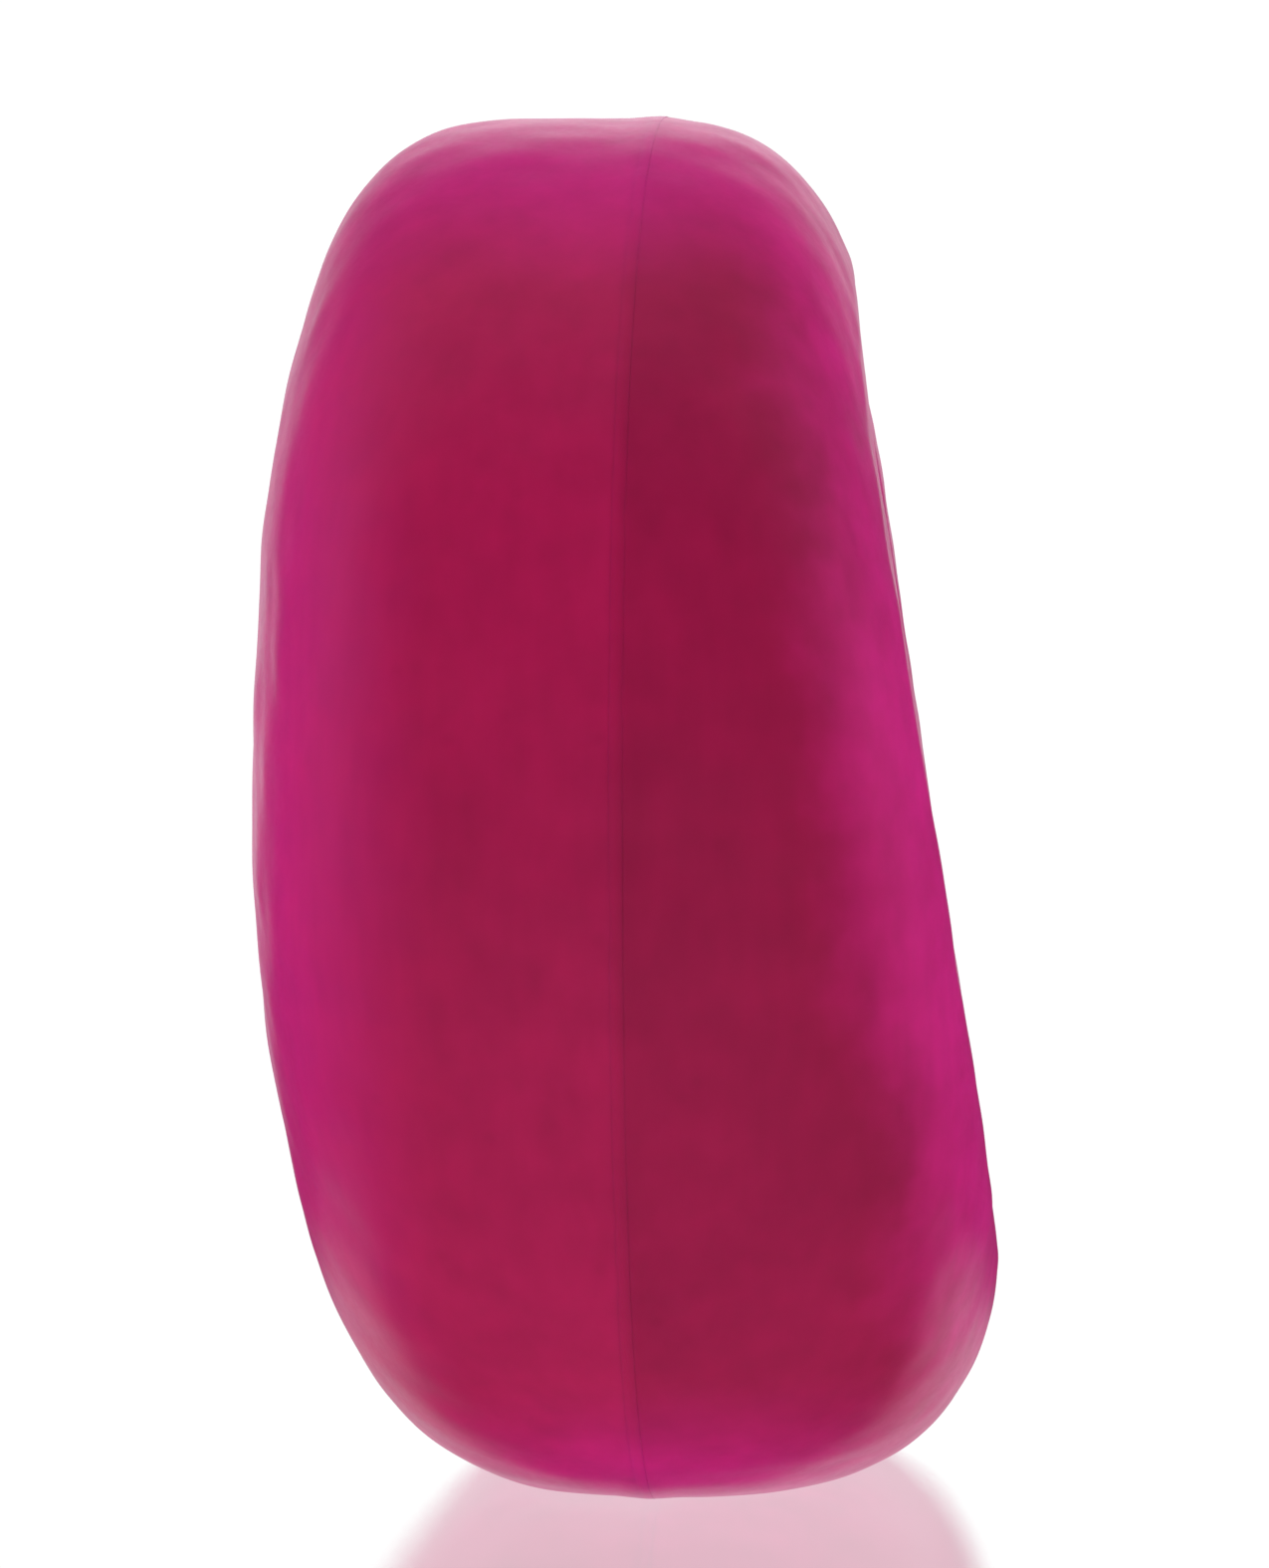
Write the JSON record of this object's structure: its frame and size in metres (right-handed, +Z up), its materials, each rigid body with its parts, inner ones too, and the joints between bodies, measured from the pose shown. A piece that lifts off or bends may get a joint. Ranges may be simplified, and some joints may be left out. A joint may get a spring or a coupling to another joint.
{
  "type": "silicone cupping cup",
  "caption": "Soft silicone cup with a press-in dome, a leaning open mouth with a rounded sealing lip, and a flat foot at its edge.",
  "frame": {"origin": "middle of the bottom of the cup's bounding box, on the surface it stands on", "axes": "+Z up; +X from the closed dome towards the open mouth; the cup is symmetric about the XZ plane"},
  "size_m": [0.0376, 0.0704, 0.0702],
  "materials": {
    "silicone": "satin, slightly translucent magenta silicone",
    "bond_silicone": "satin magenta silicone"
  },
  "bodies": {
    "cup": {"dome_shell": "silicone", "crown_flexure": "silicone", "seam_bead": "bond_silicone", "mouth_shell": "silicone", "lip_cushion": "silicone"},
    "crown": {"crown_pad": "silicone"},
    "lip": {"sealing_lip": "silicone"}
  },
  "joints": [
    {"name": "crown_press", "type": "slide", "parent": "cup", "child": "crown", "axis": [1, 0, 0], "range_m": [0, 0.008], "stiffness_N_per_m": 1500, "deforming": ["crown_flexure"]},
    {"name": "lip_seat", "type": "slide", "parent": "cup", "child": "lip", "axis": [-0.9885, 0, -0.1512], "range_m": [0, 0.0012], "stiffness_N_per_m": 8000, "deforming": ["lip_cushion"]}
  ]
}
